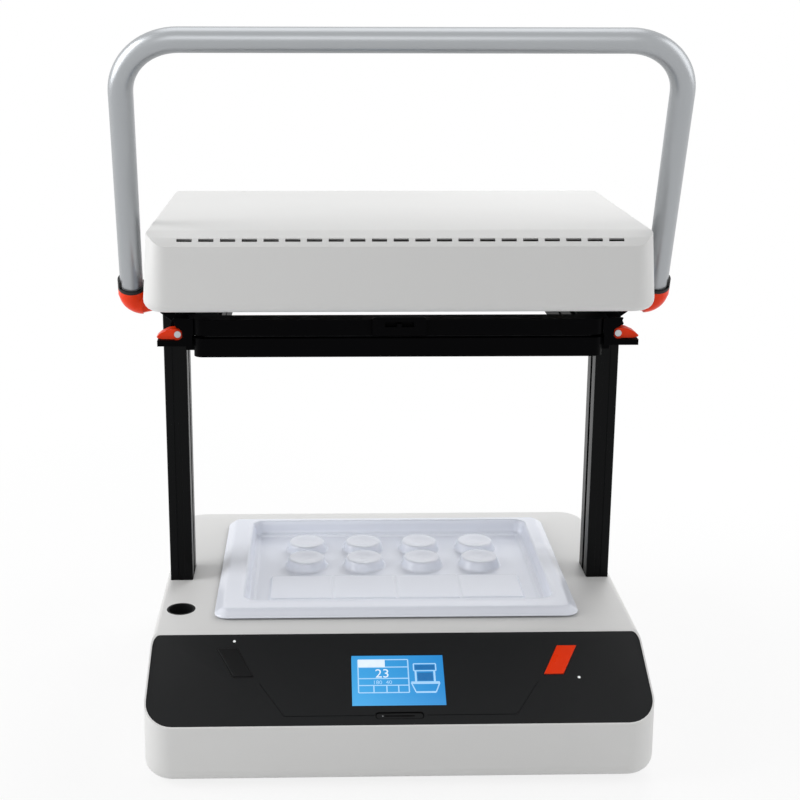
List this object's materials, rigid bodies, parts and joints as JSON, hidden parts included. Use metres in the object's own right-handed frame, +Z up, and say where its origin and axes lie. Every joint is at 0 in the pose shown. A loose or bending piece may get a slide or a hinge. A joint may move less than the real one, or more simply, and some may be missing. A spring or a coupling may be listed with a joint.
{
  "type": "dental vacuum former",
  "caption": "Desktop vacuum former: heater head on two columns over a vacuum bed, a latched clamp carriage pulled down by a bow handle, and a sloped control panel.",
  "frame": {"origin": "middle of the footprint, on the surface that the feet stand on", "axes": "+Z up, -Y towards the operator and the control panel, +X to the operator's right"},
  "size_m": [0.4866, 0.3859, 0.6157],
  "materials": {
    "white_abs": "fine moulded grain, warm light grey-white",
    "black_abs": "fine moulded grain, near black",
    "orange_abs": "satin, bright orange",
    "black_button": "satin black",
    "anodised_black": "black anodised, extruded",
    "painted_black": "cast, black powder coat",
    "silver_tube": "light grey satin anodised",
    "steel": "plain zinc plated",
    "aluminium_plate": "milled",
    "rubber_black": "matt",
    "silicone": "silicone, dark grey",
    "ceramic": "unglazed",
    "fibre": "ceramic fibre board",
    "quartz": "infrared element, satin",
    "pcb": "green solder mask",
    "lcd": "backlit blue screen",
    "led": "clear light pipe",
    "casing": "grey paint",
    "nylon": "black nylon",
    "sheet": "thin thermoformed sheet, bluish white"
  },
  "bodies": {
    "machine": {"base_shell": "white_abs", "base_pan": "casing", "rubber_feet": "rubber_black", "base_screws": "steel", "control_fascia": "black_abs", "display_module": "lcd", "control_board": "pcb", "status_leds": "led", "card_slot": "black_button", "bed_plate": "aluminium_plate", "bed_gasket": "silicone", "vacuum_chamber": "casing", "vacuum_motor": "casing", "vacuum_hose": "rubber_black", "power_supply": "aluminium_plate", "power_inlet": "black_abs", "inlet_blades": "steel", "sensor_well": "black_abs", "left_column": "anodised_black", "right_column": "anodised_black", "column_blocks": "casing", "head_brackets": "steel", "heater_cover": "white_abs", "heat_insulation": "fibre", "heater_reflector": "steel", "heater_elements": "quartz", "element_holders": "ceramic", "heater_bezel": "steel", "heater_grille": "steel", "terminal_block": "ceramic"},
    "carriage": {"lower_frame": "painted_black", "lower_seal": "silicone", "left_slider": "nylon", "right_slider": "nylon", "left_arm": "painted_black", "right_arm": "painted_black", "left_socket": "orange_abs", "right_socket": "orange_abs", "left_socket_cup": "nylon", "right_socket_cup": "nylon", "handle_tube": "silver_tube", "hinge_pins": "steel"},
    "clamp": {"upper_frame": "painted_black", "upper_seal": "silicone", "latch_brackets": "painted_black", "latch_pins": "steel"},
    "left_latch": {"left_lever": "orange_abs"},
    "right_latch": {"right_lever": "orange_abs"},
    "key_left": {"left_button": "black_button"},
    "key_right": {"right_button": "orange_abs"},
    "rocker": {"main_switch": "black_button"},
    "sheet": {"formed_sheet": "sheet"}
  },
  "joints": [
    {"name": "carriage_slide", "type": "slide", "parent": "machine", "child": "carriage", "axis": [0, 0, 1], "range_m": [-0.234, 0]},
    {"name": "clamp_hinge", "type": "hinge", "parent": "carriage", "child": "clamp", "pos_m": [0, 0.186, 0.3622], "axis": [-1, 0, 0], "range_deg": [0, 1.2]},
    {"name": "left_latch_turn", "type": "hinge", "parent": "clamp", "child": "left_latch", "pos_m": [-0.1855, -0.085, 0.3633], "axis": [0, 1, 0], "range_deg": [0, 45]},
    {"name": "right_latch_turn", "type": "hinge", "parent": "clamp", "child": "right_latch", "pos_m": [0.1855, -0.085, 0.3633], "axis": [0, -1, 0], "range_deg": [0, 45]},
    {"name": "left_button_press", "type": "slide", "parent": "machine", "child": "key_left", "axis": [0, -0.4392, 0.8984], "range_m": [-0.0012, 0], "stiffness_N_per_m": 300, "springref_m": 0.0015},
    {"name": "right_button_press", "type": "slide", "parent": "machine", "child": "key_right", "axis": [0, -0.4392, 0.8984], "range_m": [-0.0012, 0], "stiffness_N_per_m": 300, "springref_m": 0.0015},
    {"name": "main_switch_rock", "type": "hinge", "parent": "machine", "child": "rocker", "pos_m": [0.09, 0.187, 0.045], "axis": [-1, 0, 0], "range_deg": [0, 16]},
    {"name": "sheet_lift", "type": "slide", "parent": "machine", "child": "sheet", "axis": [0, 0, 1], "range_m": [0, 0.15]}
  ]
}
